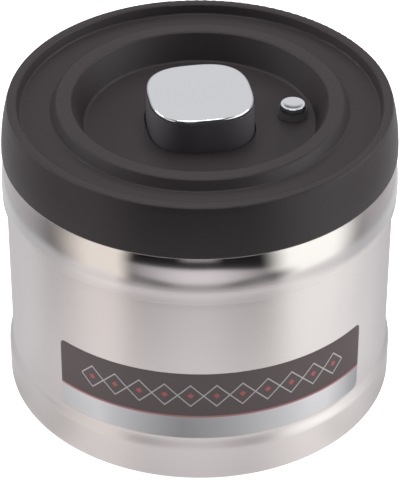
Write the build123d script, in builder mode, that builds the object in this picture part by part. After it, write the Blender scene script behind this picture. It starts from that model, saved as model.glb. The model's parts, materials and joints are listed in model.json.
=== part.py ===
from build123d import *
import math
import os

# Vacuum canister with a pump button and a release button in its lid.
# Millimetres, +Z up, origin at the centre of the base, release button towards +X.

os.makedirs("parts", exist_ok=True)

# Pot: radii are outer ones, and the lip is where the lid seats
band_radius = 65.0
waist_inset = 1.25
throat_inset = 3.6
steel_wall = 0.8
base_ring_width = 7.0
base_recess_slope = 2.0
base_recess_depth = 1.2
base_edge_radius = 1.0
foot_band_height = 11.8
foot_shoulder_height = 4.2
lip_z = 99.0
throat_height = 7.5
neck_height = 19.9
neck_step_height = 0.8
neck_bulge = 0.12
neck_height_shares = (0.24, 0.57, 0.80)
neck_fall_shares = (0.15, 0.58)
lip_width = 1.6
lip_depth = 1.5
lip_crest_radius = 0.4

# Label
label_thickness = 0.15
label_bottom_above_shoulder = 0.5
label_height = 26.4
label_span_angle = 99.2
label_turn_angle = -5.0
front_angle = -90.0
label_corner_radius = 2.0

# Lid cover: rises and drops are counted from the lip of the pot
cover_wall = 2.0
skirt_wall = 1.9
skirt_inset = 0.2
skirt_drop = 10.5
skirt_edge_radius = 0.45
skirt_middle_inset = 0.75
skirt_middle_drop = 0.5
skirt_top_inset = 1.85
skirt_top_rise = 5.1
rim_rise = 7.1
rim_inset = 2.5
rim_width = 2.9
rim_lean = 1.0
channel_rise = 3.5
ridge_rise = 6.65
ridge_lean = 2.2
ridge_width = 4.7
well_drop = 2.7
well_lean = 3.9
cover_edge_radius = 0.7
well_foot_radius = 1.0

# Mouth gasket
gasket_lip_gap = 0.1
gasket_base = 2.0
gasket_leg = 1.0
gasket_lip_wall = 1.2
gasket_lip_length = 4.0
throat_clearance = 0.4
plug_clearance = 2.0

# Pump button
button_half_width = 17.0
button_draft = 0.35
button_roundness = 2.8
button_outline_points = 40
button_above_rim = 2.2
button_cap_height = 1.5
button_cap_edge = 1.0
button_web = 1.6
button_wall = 1.6
button_depth_below_well = 3.3
button_opening_clearance = 0.35
cap_pad_inset = 4.0
cap_pad_depth = 0.7
cap_pad_clearance = 0.1
boss_wall = 1.6
boss_depth = 5.0
boss_roof = 1.2
pump_stroke = 8.0

# Pump
pocket_clearance = 0.64
pump_wall = 1.6
pocket_floor = 1.7
pocket_bottom_clearance = 0.7
bore_floor = 2.0
piston_floor_clearance = 1.6
flange_thickness = 2.0
flange_width = 3.2
spigot_wall = 1.4
spigot_clearance = 0.4
seat_gap = 0.1
ring_section_radius = 0.57
ring_groove_depth = 0.8
ring_groove_half_height = 0.74
lug_gap = 1.96
lug_radius = 3.2
lug_count = 4
lug_start_angle = 45.0
screw_radius = 1.1
screw_pilot_radius = 0.95
screw_head_radius = 2.4
screw_head_height = 1.3
screw_head_side = 0.65
screw_slot = 0.6
screw_slot_depth = 0.65
screw_tip_radius = 0.45
screw_length = 6.0
screw_tip_clearance = 1.0
screw_hole_clearance = 0.15

# Piston and its guide
rod_radius = 3.0
running_clearance = 0.08
piston_clearance = 0.4
piston_disc = 1.8
piston_groove = 1.8
piston_top_disc = 1.2
piston_top_clearance = 1.8
cup_depth = 3.6
cup_base = 1.0
cup_lip_height = 2.6
cup_lip_wall = 0.7
guide_plate = 2.0
guide_skirt_depth = 2.5
guide_skirt_wall = 1.35
guide_clearance = 0.7
breather_radius = 1.1
breather_circle_radius = 6.2
breather_count = 4
rod_screw_length = 9.0

# Inlet valve and strainer
valve_head_radius = 5.2
valve_head_height = 1.0
valve_lip = 0.33
valve_stem_radius = 1.0
valve_bulb_radius = 1.6
valve_bulb_height = 1.0
valve_port_radius = 0.9
valve_port_circle_radius = 3.2
valve_port_count = 6
strainer_wall = 1.0
strainer_edge_radius = 0.5
strainer_floor = 1.2
strainer_space = 1.4
strainer_overlap = 3.4
strainer_slot_length = 5.0
strainer_slot_width = 1.2
strainer_slot_circle_radius = 8.0
strainer_slot_count = 10

# Inner plate
plate_thickness = 2.0
plug_wall = 1.6
plug_edge_radius = 1.4
plug_inner_edge_radius = 0.7
plate_screw_inset = 6.0
plate_screw_count = 4
plate_boss_radius = 3.4
plate_hole_clearance = 0.3
vent_radius = 1.5
vent_circle_radius = 4.6
vent_count = 6

# Release valve
release_wall_gap = 7.0
release_pump_gap = 0.6
release_button_radius = 4.13
release_button_rise = 4.2
release_button_height = 4.5
release_dish_depth = 0.55
release_rim_width = 0.55
release_edge_radius = 0.4
release_button_wall = 0.85
release_button_top = 1.4
release_travel = 2.0
release_bottom_clearance = 2.0
collar_foot_radius = 4.94
collar_top_radius = 4.72
collar_height = 2.6
collar_bore_clearance = 0.22
collar_hole_clearance = 0.05
release_barrel_wall = 0.8
release_flange_radius = 7.0
release_flange = 1.5
release_gasket_thickness = 0.6
release_seat = 1.5
release_stem_radius = 1.0
release_stem_boss_wall = 0.7
release_seal_radius = 3.4
release_seal_thickness = 1.2
release_seal_gap = 0.05
release_head_radius = 2.6
release_head_height = 1.2
release_port_radius = 0.5
release_port_circle_radius = 2.3
release_port_count = 4
fit_gap = 0.02

# Springs
spring_wire_radius = 0.5
spring_radius = 9.0
spring_turns = 4.25
spring_end_gap = 0.03
release_wire_radius = 0.2
release_spring_radius = 2.55
release_spring_turns = 6.25

# One named overrun serves every cut
overrun = 1.0

# Heights and radii that several pieces share
waist_radius = band_radius - waist_inset
throat_radius = band_radius - throat_inset
ring_radius = band_radius - base_ring_width
base_recess_radius = ring_radius - base_recess_slope
shoulder_top_z = foot_band_height + foot_shoulder_height
neck_top_z = lip_z - throat_height
neck_z = neck_top_z - neck_height
neck_step_z = neck_z - neck_step_height
skirt_radius = band_radius - skirt_inset
skirt_bottom_z = lip_z - skirt_drop
skirt_middle_radius = skirt_radius - skirt_middle_inset
skirt_middle_z = lip_z - skirt_middle_drop
skirt_top_radius = skirt_radius - skirt_top_inset
skirt_top_z = lip_z + skirt_top_rise
rim_radius = skirt_radius - rim_inset
rim_z = lip_z + rim_rise
rim_inner_radius = rim_radius - rim_width
channel_radius = rim_inner_radius - rim_lean
channel_z = lip_z + channel_rise
corner_reach = 2 ** (0.5 - 1 / button_roundness)
button_foot_half_width = button_half_width + button_draft
pocket_radius = button_foot_half_width * corner_reach + pocket_clearance
pocket_outer_radius = pocket_radius + pump_wall
spigot_inner_radius = pocket_outer_radius + spigot_clearance
spigot_radius = spigot_inner_radius + spigot_wall
release_offset = spigot_radius + release_pump_gap + release_flange_radius
well_radius = release_offset + release_wall_gap
well_z = lip_z - well_drop
ridge_inner_radius = well_radius + well_lean
ridge_radius = ridge_inner_radius + ridge_width
ridge_z = lip_z + ridge_rise
channel_inner_radius = ridge_radius + ridge_lean
throat_inner_radius = throat_radius - steel_wall
plug_radius = throat_inner_radius - plug_clearance
skirt_inner_radius = rim_radius + gasket_lip_gap
groove_ceiling_z = rim_z - cover_wall - cover_edge_radius
channel_under_z = channel_z - cover_wall
well_under_z = well_z - cover_wall
well_slope = well_lean / (ridge_z - well_z)
ridge_slope = ridge_lean / (ridge_z - channel_z)
button_top_z = rim_z + button_above_rim
button_web_z = button_top_z - button_cap_height
button_web_under_z = button_web_z - button_web
button_foot_z = well_z - button_depth_below_well
pocket_z = button_foot_z - pump_stroke - pocket_bottom_clearance
plate_z = pocket_z - pocket_floor
flange_z = pocket_z + flange_thickness
lug_circle_radius = spigot_radius + lug_gap + lug_radius
cap_radius = button_foot_half_width - button_wall - guide_clearance
cylinder_radius = cap_radius - guide_skirt_wall - seat_gap
bore_radius = cylinder_radius - pump_wall
guide_z = pocket_z + pump_stroke - guide_skirt_depth - seat_gap
guide_top_z = guide_z + guide_plate
rod_top_z = button_web_under_z - boss_roof
piston_top_z = guide_z - seat_gap
piston_height = piston_disc + piston_groove + piston_top_disc
piston_z = piston_top_z - piston_height
bore_floor_z = piston_z - pump_stroke - valve_head_height - piston_floor_clearance
cylinder_bottom_z = bore_floor_z - bore_floor
strainer_z = cylinder_bottom_z - strainer_space - strainer_floor
plate_bottom_z = plate_z - plate_thickness
plate_screw_circle_radius = plug_radius - plate_screw_inset
release_button_z = well_z + release_button_rise
release_bottom_z = release_button_z - release_button_height
release_seat_top_z = release_bottom_z - release_travel - release_bottom_clearance
release_seat_z = release_seat_top_z - release_seat
release_bore_radius = release_button_radius + collar_bore_clearance
release_ceiling_z = release_button_z - release_button_top - release_dish_depth
release_seal_z = release_seat_z - release_seal_gap - release_seal_thickness

side_plane = Plane.XZ
release_plane = Plane(origin=(release_offset, 0, 0), x_dir=(1, 0, 0), z_dir=(0, -1, 0))
release_axis = Axis((release_offset, 0, 0), (0, 0, 1))


def squircle(half_width):
    """Give points round a rounded square of the button's outline."""
    points = []
    for step in range(button_outline_points):
        angle = 2 * math.pi * step / button_outline_points
        cosine = math.cos(angle)
        sine = math.sin(angle)
        x = math.copysign(abs(cosine) ** (2 / button_roundness), cosine)
        y = math.copysign(abs(sine) ** (2 / button_roundness), sine)
        points.append((half_width * x, half_width * y))
    return points


def pot_side(inset):
    """Draw the side of the pot from the base edge to the throat, inset by a wall."""
    edge_radius = base_edge_radius
    base = (band_radius - inset - edge_radius, inset)
    edge = (band_radius - inset, inset + edge_radius)
    foot = (band_radius - inset, foot_band_height)
    shoulder = (waist_radius - inset, shoulder_top_z)
    step = (waist_radius - inset, neck_step_z)
    neck = (band_radius - inset, neck_z)
    fall = band_radius - throat_radius
    neck_points = [
        neck,
        (band_radius - inset + neck_bulge, neck_z + neck_height_shares[0] * neck_height),
        (neck[0] - neck_fall_shares[0] * fall, neck_z + neck_height_shares[1] * neck_height),
        (neck[0] - neck_fall_shares[1] * fall, neck_z + neck_height_shares[2] * neck_height),
        (throat_radius - inset, neck_top_z),
    ]
    RadiusArc(base, edge, -edge_radius)
    Line(edge, foot)
    Spline(foot, shoulder, tangents=[(0, 1), (0, 1)])
    Line(shoulder, step)
    Spline(step, neck, tangents=[(0, 1), (0, 1)])
    Spline(*neck_points, tangents=[(0, 1), (0, 1)])
    return base, neck_points[-1]


# Canister body: drawn steel pot with a foot band, a neck band and a curled lip
with BuildPart() as canister_body:
    with BuildSketch(side_plane):
        with BuildLine():
            outer_base, outer_top = pot_side(0)
            inner_base, inner_top = pot_side(steel_wall)
            Polyline(
                (0, base_recess_depth),
                (base_recess_radius, base_recess_depth),
                (ring_radius, 0),
                outer_base,
            )
            Polyline(
                (0, base_recess_depth + steel_wall),
                (base_recess_radius, base_recess_depth + steel_wall),
                (ring_radius, steel_wall),
                inner_base,
            )
            Line((0, base_recess_depth), (0, base_recess_depth + steel_wall))
            curl_z = lip_z - lip_depth
            curl_radius = inner_top[0] + lip_width
            FilletPolyline(
                outer_top,
                (outer_top[0], curl_z),
                (curl_radius, curl_z + lip_crest_radius),
                (curl_radius, lip_z),
                (inner_top[0], lip_z),
                inner_top,
                radius=(0, 0, lip_crest_radius, lip_crest_radius),
            )
        make_face()
    revolve(axis=Axis.Z)
canister_body.part.label = "canister_body"

# Front label: thin printed film on the waist, with rounded corners
with BuildPart() as front_label:
    label_start_angle = front_angle + label_turn_angle - label_span_angle / 2
    label_plane = Plane.XZ.rotated((0, 0, label_start_angle))
    with BuildSketch(label_plane):
        label_z = shoulder_top_z + label_bottom_above_shoulder
        with Locations((waist_radius, label_z)):
            Rectangle(label_thickness, label_height, align=(Align.MIN, Align.MIN))
    revolve(axis=Axis.Z, revolution_arc=label_span_angle)
    corner_edges = front_label.edges().sort_by(SortBy.LENGTH)[:4]
    fillet(corner_edges, label_corner_radius)
front_label.part.label = "front_label"

# Lid cover: skirt, raised rim, channel, ring ridge and sunken well, with its bosses
with BuildPart() as lid_cover:
    with BuildSketch(side_plane):
        with BuildLine():
            skirt_foot = (skirt_radius, skirt_bottom_z)
            skirt_top = (skirt_top_radius, skirt_top_z)
            FilletPolyline(
                (0, well_z),
                (well_radius, well_z),
                (ridge_inner_radius, ridge_z),
                (ridge_radius, ridge_z),
                (channel_inner_radius, channel_z),
                (channel_radius, channel_z),
                (rim_inner_radius, rim_z),
                (rim_radius, rim_z),
                skirt_top,
                radius=(well_foot_radius,) + (cover_edge_radius,) * 6,
            )
            ThreePointArc(skirt_top, (skirt_middle_radius, skirt_middle_z), skirt_foot)
            Polyline(
                skirt_foot,
                (skirt_radius - skirt_wall, skirt_bottom_z),
                (skirt_inner_radius, lip_z),
                (skirt_inner_radius, groove_ceiling_z),
                (plug_radius + gasket_lip_gap, groove_ceiling_z),
                (plug_radius + gasket_lip_gap, channel_under_z),
                (
                    ridge_radius + ridge_slope * (ridge_z - channel_under_z) - cover_wall,
                    channel_under_z,
                ),
                (ridge_radius + ridge_slope * cover_wall - cover_wall, ridge_z - cover_wall),
                (ridge_inner_radius - well_slope * cover_wall + cover_wall, ridge_z - cover_wall),
                (well_radius - well_slope * cover_wall + cover_wall, well_under_z),
                (0, well_under_z),
                (0, well_z),
            )
        make_face()
    revolve(axis=Axis.Z)
    # The lower outer edge of the skirt is the longest edge of the cover
    fillet(lid_cover.edges().sort_by(SortBy.LENGTH)[-1], skirt_edge_radius)
    # Spigot for the pump housing and the bosses for its screws
    with BuildSketch(Plane.XY.offset(flange_z)):
        Circle(spigot_radius)
        Circle(spigot_inner_radius, mode=Mode.SUBTRACT)
        with PolarLocations(lug_circle_radius, lug_count, lug_start_angle):
            Circle(lug_radius)
    extrude(amount=well_under_z - flange_z)
    # Bosses for the screws of the inner plate
    with BuildSketch(Plane.XY.offset(plate_z)):
        with PolarLocations(plate_screw_circle_radius, plate_screw_count):
            Circle(plate_boss_radius)
    extrude(amount=channel_under_z - plate_z)
    # Openings for the pump button and the release collar
    with BuildSketch(Plane.XY.offset(well_under_z - overrun)):
        with BuildLine():
            Spline(*squircle(button_foot_half_width + button_opening_clearance), periodic=True)
        make_face()
        with Locations((release_offset, 0)):
            Circle(collar_foot_radius + collar_hole_clearance)
    extrude(amount=cover_wall + 2 * overrun, mode=Mode.SUBTRACT)
    # Pilot holes in the bosses
    with BuildSketch(Plane.XY.offset(flange_z)):
        with PolarLocations(lug_circle_radius, lug_count, lug_start_angle):
            Circle(screw_pilot_radius + screw_hole_clearance)
    extrude(amount=screw_length, mode=Mode.SUBTRACT)
    with BuildSketch(Plane.XY.offset(plate_z)):
        with PolarLocations(plate_screw_circle_radius, plate_screw_count):
            Circle(screw_pilot_radius + screw_hole_clearance)
    extrude(amount=screw_length, mode=Mode.SUBTRACT)
lid_cover.part.label = "lid_cover"

# Mouth gasket: two legs in the groove, a flat face on the lip and a wiper below it
with BuildPart() as mouth_gasket:
    gasket_inner_radius = plug_radius + 2 * gasket_lip_gap
    gasket_outer_radius = skirt_inner_radius - gasket_lip_gap
    gasket_top_z = groove_ceiling_z - gasket_lip_gap
    wiper_radius = throat_inner_radius - throat_clearance
    with BuildSketch(side_plane):
        with BuildLine():
            Polyline(
                (gasket_inner_radius, lip_z - gasket_lip_length),
                (wiper_radius, lip_z - gasket_lip_length + gasket_lip_wall),
                (wiper_radius, lip_z),
                (gasket_outer_radius, lip_z),
                (gasket_outer_radius, gasket_top_z),
                (gasket_outer_radius - gasket_leg, gasket_top_z),
                (gasket_outer_radius - gasket_leg, lip_z + gasket_base),
                (gasket_inner_radius + gasket_leg, lip_z + gasket_base),
                (gasket_inner_radius + gasket_leg, gasket_top_z),
                (gasket_inner_radius, gasket_top_z),
                close=True,
            )
        make_face()
    revolve(axis=Axis.Z)
mouth_gasket.part.label = "mouth_gasket"

# Inner plate: floor and plug wall that close the underside of the lid
with BuildPart() as inner_plate:
    with BuildSketch(side_plane):
        with BuildLine():
            FilletPolyline(
                (cylinder_radius + plate_hole_clearance, plate_bottom_z),
                (plug_radius, plate_bottom_z),
                (plug_radius, channel_under_z - seat_gap),
                (plug_radius - plug_wall, channel_under_z - seat_gap),
                (plug_radius - plug_wall, plate_z),
                (cylinder_radius + plate_hole_clearance, plate_z),
                radius=(0, plug_edge_radius, 0, 0, plug_inner_edge_radius, 0),
                close=True,
            )
        make_face()
    revolve(axis=Axis.Z)
    with BuildSketch(Plane.XY.offset(plate_bottom_z)):
        with PolarLocations(plate_screw_circle_radius, plate_screw_count):
            Circle(screw_radius + screw_hole_clearance)
        with Locations((release_offset, 0)):
            with PolarLocations(vent_circle_radius, vent_count):
                Circle(vent_radius)
            Circle(vent_radius)
    extrude(amount=plate_thickness, mode=Mode.SUBTRACT)
    with BuildSketch(Plane.XY.offset(plate_bottom_z)):
        with PolarLocations(plate_screw_circle_radius, plate_screw_count):
            Circle(screw_head_radius + screw_hole_clearance)
    extrude(amount=screw_head_height, mode=Mode.SUBTRACT)
inner_plate.part.label = "inner_plate"

# Pump housing: outer pocket for the button skirt, inner cylinder and screw lugs
with BuildPart() as pump_housing:
    ring_groove_z = (flange_z + well_under_z) / 2
    ring_groove_low_z = ring_groove_z - ring_groove_half_height
    ring_groove_high_z = ring_groove_z + ring_groove_half_height
    with BuildSketch(side_plane):
        with BuildLine():
            Polyline(
                (0, cylinder_bottom_z),
                (cylinder_radius, cylinder_bottom_z),
                (cylinder_radius, plate_z),
                (pocket_outer_radius, plate_z),
                (pocket_outer_radius, ring_groove_low_z),
                (pocket_outer_radius - ring_groove_depth, ring_groove_low_z),
                (pocket_outer_radius - ring_groove_depth, ring_groove_high_z),
                (pocket_outer_radius, ring_groove_high_z),
                (pocket_outer_radius, well_under_z - seat_gap),
                (pocket_radius, well_under_z - seat_gap),
                (pocket_radius, pocket_z),
                (cylinder_radius, pocket_z),
                (cylinder_radius, guide_z),
                (bore_radius, guide_z),
                (bore_radius, bore_floor_z),
                (0, bore_floor_z),
                close=True,
            )
        make_face()
    revolve(axis=Axis.Z)
    with BuildSketch(Plane.XY.offset(pocket_z)):
        Circle(pocket_outer_radius + flange_width)
        with PolarLocations(lug_circle_radius, lug_count, lug_start_angle):
            Circle(lug_radius)
        with PolarLocations(lug_circle_radius / 2, lug_count, lug_start_angle):
            Rectangle(lug_circle_radius, 2 * lug_radius)
        Circle(pocket_radius + pump_wall / 2, mode=Mode.SUBTRACT)
        with PolarLocations(lug_circle_radius, lug_count, lug_start_angle):
            Circle(screw_radius + screw_hole_clearance, mode=Mode.SUBTRACT)
    extrude(amount=flange_thickness)
    with BuildSketch(Plane.XY.offset(cylinder_bottom_z)):
        Circle(valve_stem_radius + fit_gap)
        with PolarLocations(valve_port_circle_radius, valve_port_count):
            Circle(valve_port_radius)
    extrude(amount=bore_floor, mode=Mode.SUBTRACT)
pump_housing.part.label = "pump_housing"

# Housing seal: ring in the groove of the pump housing
with BuildPart() as housing_seal:
    seal_centre_radius = spigot_inner_radius - ring_section_radius - fit_gap
    with BuildSketch(side_plane):
        with Locations((seal_centre_radius, ring_groove_z)):
            Circle(ring_section_radius)
    revolve(axis=Axis.Z)
housing_seal.part.label = "housing_seal"


def screw_outline(seat_z, shank_length, head_up):
    """Give the half outline of a pan head screw whose head rests on the seat height."""
    side = 1 if head_up else -1
    head_z = seat_z + side * screw_head_height
    tip_z = seat_z - side * shank_length
    return [
        (0, tip_z),
        (screw_tip_radius, tip_z),
        (screw_pilot_radius, tip_z + side * screw_pilot_radius),
        (screw_pilot_radius, seat_z),
        (screw_head_radius, seat_z),
        (screw_head_radius, seat_z + side * screw_head_side),
        (screw_head_radius - screw_head_height + screw_head_side, head_z),
        (0, head_z),
    ]


def screw_group(circle_radius, count, start_angle, seat_z, shank_length):
    """Make a ring of screws that are driven from below."""
    with BuildPart() as group:
        for location in PolarLocations(circle_radius, count, start_angle).locations:
            centre = location.position
            plane = Plane(origin=centre, x_dir=(1, 0, 0), z_dir=(0, -1, 0))
            with BuildSketch(plane):
                with BuildLine():
                    Polyline(*screw_outline(seat_z, shank_length, False), close=True)
                make_face()
            revolve(axis=Axis(centre, (0, 0, 1)))
        with BuildSketch(Plane.XY.offset(seat_z - screw_head_height)):
            with PolarLocations(circle_radius, count, start_angle):
                Rectangle(screw_head_radius, screw_slot)
                Rectangle(screw_slot, screw_head_radius)
        extrude(amount=screw_slot_depth, mode=Mode.SUBTRACT)
    return group.part


housing_screw_length = flange_thickness + screw_length - screw_tip_clearance
housing_screws = screw_group(
    lug_circle_radius, lug_count, lug_start_angle, pocket_z, housing_screw_length
)
housing_screws.label = "housing_screws"

plate_seat_z = plate_bottom_z + screw_head_height
plate_screw_length = plate_z - plate_seat_z + screw_length - screw_tip_clearance
plate_screws = screw_group(
    plate_screw_circle_radius, plate_screw_count, 0, plate_seat_z, plate_screw_length
)
plate_screws.label = "plate_screws"

# Cylinder cap: guides the piston rod and lets air breathe above the piston
with BuildPart() as cylinder_cap:
    with BuildSketch(side_plane):
        with BuildLine():
            Polyline(
                (rod_radius + running_clearance, guide_z),
                (cylinder_radius + seat_gap, guide_z),
                (cylinder_radius + seat_gap, guide_z - guide_skirt_depth),
                (cap_radius, guide_z - guide_skirt_depth),
                (cap_radius, guide_top_z),
                (rod_radius + running_clearance, guide_top_z),
                close=True,
            )
        make_face()
    revolve(axis=Axis.Z)
    with BuildSketch(Plane.XY.offset(guide_z)):
        with PolarLocations(breather_circle_radius, breather_count):
            Circle(breather_radius)
    extrude(amount=guide_plate, mode=Mode.SUBTRACT)
cylinder_cap.part.label = "cylinder_cap"

# Piston: head with a groove for the cup seal, and the rod up to the button
with BuildPart() as piston:
    head_radius = bore_radius - piston_clearance
    piston_core_radius = bore_radius - cup_depth
    top_disc_radius = bore_radius - piston_top_clearance
    with BuildSketch(side_plane):
        with BuildLine():
            Polyline(
                (0, piston_z),
                (head_radius, piston_z),
                (head_radius, piston_z + piston_disc),
                (piston_core_radius, piston_z + piston_disc),
                (piston_core_radius, piston_z + piston_disc + piston_groove),
                (top_disc_radius, piston_z + piston_disc + piston_groove),
                (top_disc_radius, piston_top_z),
                (rod_radius, piston_top_z),
                (rod_radius, rod_top_z),
                (0, rod_top_z),
                close=True,
            )
        make_face()
    revolve(axis=Axis.Z)
    with BuildSketch(Plane.XY.offset(rod_top_z)):
        Circle(screw_pilot_radius + screw_hole_clearance)
    extrude(amount=-rod_screw_length, mode=Mode.SUBTRACT)
piston.part.label = "piston"

# Piston cup: its lip points up, so it holds on the return and leaks on the press
with BuildPart() as piston_cup:
    cup_z = piston_z + piston_disc + fit_gap
    cup_radius = bore_radius - running_clearance
    cup_inner_radius = piston_core_radius + fit_gap
    with BuildSketch(side_plane):
        with BuildLine():
            Polyline(
                (cup_inner_radius, cup_z),
                (head_radius, cup_z),
                (cup_radius, cup_z + cup_lip_height),
                (cup_radius - cup_lip_wall, cup_z + cup_lip_height),
                (head_radius - cup_lip_wall, cup_z + cup_base),
                (cup_inner_radius, cup_z + cup_base),
                close=True,
            )
        make_face()
    revolve(axis=Axis.Z)
piston_cup.part.label = "piston_cup"

# Button skirt: rounded-square shell that slides in the opening of the well
with BuildPart() as button_skirt:
    with BuildSketch(Plane.XY.offset(button_foot_z)):
        with BuildLine():
            Spline(*squircle(button_foot_half_width), periodic=True)
        make_face()
    with BuildSketch(Plane.XY.offset(button_web_z)):
        with BuildLine():
            Spline(*squircle(button_half_width), periodic=True)
        make_face()
    loft()
    with BuildSketch(Plane.XY.offset(button_foot_z)):
        with BuildLine():
            Spline(*squircle(button_foot_half_width - button_wall), periodic=True)
        make_face()
    with BuildSketch(Plane.XY.offset(button_web_under_z)):
        with BuildLine():
            Spline(*squircle(button_half_width - button_wall), periodic=True)
        make_face()
    loft(mode=Mode.SUBTRACT)
    with BuildSketch(Plane.XY.offset(button_web_under_z - boss_depth)):
        Circle(rod_radius + boss_wall)
    extrude(amount=boss_depth)
    with BuildSketch(Plane.XY.offset(button_web_under_z - boss_depth)):
        Circle(rod_radius + fit_gap)
    extrude(amount=rod_top_z - button_web_under_z + boss_depth, mode=Mode.SUBTRACT)
    pad_floor_z = button_web_z - cap_pad_depth - cap_pad_clearance
    with BuildSketch(Plane.XY.offset(pad_floor_z)):
        with BuildLine():
            Spline(*squircle(button_half_width - cap_pad_inset + cap_pad_clearance), periodic=True)
        make_face()
    extrude(amount=button_web_z - pad_floor_z, mode=Mode.SUBTRACT)
    head_seat_z = pad_floor_z - screw_head_height
    with BuildSketch(Plane.XY.offset(head_seat_z)):
        Circle(screw_head_radius + screw_hole_clearance)
    extrude(amount=screw_head_height, mode=Mode.SUBTRACT)
    with BuildSketch(Plane.XY.offset(rod_top_z - overrun)):
        Circle(screw_radius + screw_hole_clearance)
    extrude(amount=head_seat_z - rod_top_z + 2 * overrun, mode=Mode.SUBTRACT)
button_skirt.part.label = "button_skirt"

# Button cap: bright plate that snaps on top of the skirt
with BuildPart() as button_cap:
    with BuildSketch(Plane.XY.offset(button_web_z)):
        with BuildLine():
            Spline(*squircle(button_half_width), periodic=True)
        make_face()
    extrude(amount=button_cap_height)
    fillet(button_cap.faces().sort_by(Axis.Z)[-1].edges(), button_cap_edge)
    with BuildSketch(Plane.XY.offset(button_web_z - cap_pad_depth)):
        with BuildLine():
            Spline(*squircle(button_half_width - cap_pad_inset), periodic=True)
        make_face()
    extrude(amount=cap_pad_depth)
button_cap.part.label = "button_cap"

# Rod screw: ties the rod to the button, hidden under the bright cap
with BuildPart() as rod_screw:
    with BuildSketch(side_plane):
        with BuildLine():
            rod_screw_shank = rod_screw_length - screw_tip_clearance
            Polyline(*screw_outline(head_seat_z, rod_screw_shank, True), close=True)
        make_face()
    revolve(axis=Axis.Z)
rod_screw.part.label = "rod_screw"

# Inlet valve: umbrella over the ports of the cylinder floor
with BuildPart() as inlet_valve:
    bulb_z = cylinder_bottom_z - valve_bulb_height
    with BuildSketch(side_plane):
        with BuildLine():
            Polyline(
                (0, bulb_z),
                (valve_stem_radius, bulb_z),
                (valve_bulb_radius, cylinder_bottom_z - fit_gap),
                (valve_stem_radius, cylinder_bottom_z - fit_gap),
                (valve_stem_radius, bore_floor_z + fit_gap),
                (valve_head_radius, bore_floor_z + fit_gap),
                (valve_head_radius, bore_floor_z + valve_lip),
                (valve_bulb_radius, bore_floor_z + valve_head_height),
                (0, bore_floor_z + valve_head_height),
                close=True,
            )
        make_face()
    revolve(axis=Axis.Z)
inlet_valve.part.label = "inlet_valve"

# Strainer cap: snaps over the foot of the cylinder
with BuildPart() as strainer_cap:
    strainer_inner_radius = cylinder_radius + fit_gap
    strainer_radius = strainer_inner_radius + strainer_wall
    with BuildSketch(side_plane):
        with BuildLine():
            FilletPolyline(
                (0, strainer_z),
                (strainer_radius, strainer_z),
                (strainer_radius, cylinder_bottom_z + strainer_overlap),
                (strainer_inner_radius, cylinder_bottom_z + strainer_overlap),
                (strainer_inner_radius, strainer_z + strainer_floor),
                (0, strainer_z + strainer_floor),
                radius=(0, strainer_edge_radius, 0, 0, 0, 0),
                close=True,
            )
        make_face()
    revolve(axis=Axis.Z)
    with BuildSketch(Plane.XY.offset(strainer_z)):
        with PolarLocations(strainer_slot_circle_radius, strainer_slot_count):
            SlotOverall(strainer_slot_length, strainer_slot_width)
    extrude(amount=strainer_floor, mode=Mode.SUBTRACT)
strainer_cap.part.label = "strainer_cap"

# Release housing: collar above the well, barrel, flange and valve seat below it
with BuildPart() as release_housing:
    barrel_radius = release_bore_radius + release_barrel_wall
    flange_top_z = well_under_z - release_gasket_thickness
    with BuildSketch(release_plane):
        with BuildLine():
            Polyline(
                (release_stem_radius + running_clearance, release_seat_z),
                (barrel_radius, release_seat_z),
                (barrel_radius, flange_top_z - release_flange),
                (release_flange_radius, flange_top_z - release_flange),
                (release_flange_radius, flange_top_z),
                (collar_foot_radius, flange_top_z),
                (collar_foot_radius, well_z),
                (collar_top_radius, well_z + collar_height),
                (release_bore_radius, well_z + collar_height),
                (release_bore_radius, release_seat_top_z),
                (release_stem_radius + running_clearance, release_seat_top_z),
                close=True,
            )
        make_face()
    revolve(axis=release_axis)
    with BuildSketch(Plane.XY.offset(release_seat_z)):
        with Locations((release_offset, 0)):
            with PolarLocations(release_port_circle_radius, release_port_count):
                Circle(release_port_radius)
    extrude(amount=release_seat, mode=Mode.SUBTRACT)
release_housing.part.label = "release_housing"

# Release gasket: ring between the flange and the underside of the well
with BuildPart() as release_gasket:
    with BuildSketch(Plane.XY.offset(flange_top_z)):
        with Locations((release_offset, 0)):
            Circle(release_flange_radius - collar_hole_clearance)
            Circle(collar_foot_radius + collar_hole_clearance, mode=Mode.SUBTRACT)
    extrude(amount=release_gasket_thickness)
release_gasket.part.label = "release_gasket"

# Release button: cup with a flat rim round a dished top, hollow below for its spring
with BuildPart() as release_button:
    stem_boss_radius = release_stem_radius + release_stem_boss_wall
    with BuildSketch(release_plane):
        with BuildLine():
            rim_point = (release_button_radius - release_edge_radius, release_button_z)
            side_point = (release_button_radius, release_button_z - release_edge_radius)
            dish_point = (0, release_button_z - release_dish_depth)
            dish_edge_point = (rim_point[0] - release_rim_width, release_button_z)
            TangentArc(dish_point, dish_edge_point, tangent=(1, 0))
            Line(dish_edge_point, rim_point)
            RadiusArc(rim_point, side_point, release_edge_radius)
            Polyline(
                side_point,
                (release_button_radius, release_bottom_z),
                (release_button_radius - release_button_wall, release_bottom_z),
                (release_button_radius - release_button_wall, release_ceiling_z),
                (stem_boss_radius, release_ceiling_z),
                (stem_boss_radius, release_bottom_z + release_button_wall),
                (release_stem_radius + fit_gap, release_bottom_z + release_button_wall),
                (release_stem_radius + fit_gap, release_ceiling_z),
                (0, release_ceiling_z),
                dish_point,
            )
        make_face()
    revolve(axis=release_axis)
release_button.part.label = "release_button"

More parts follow.
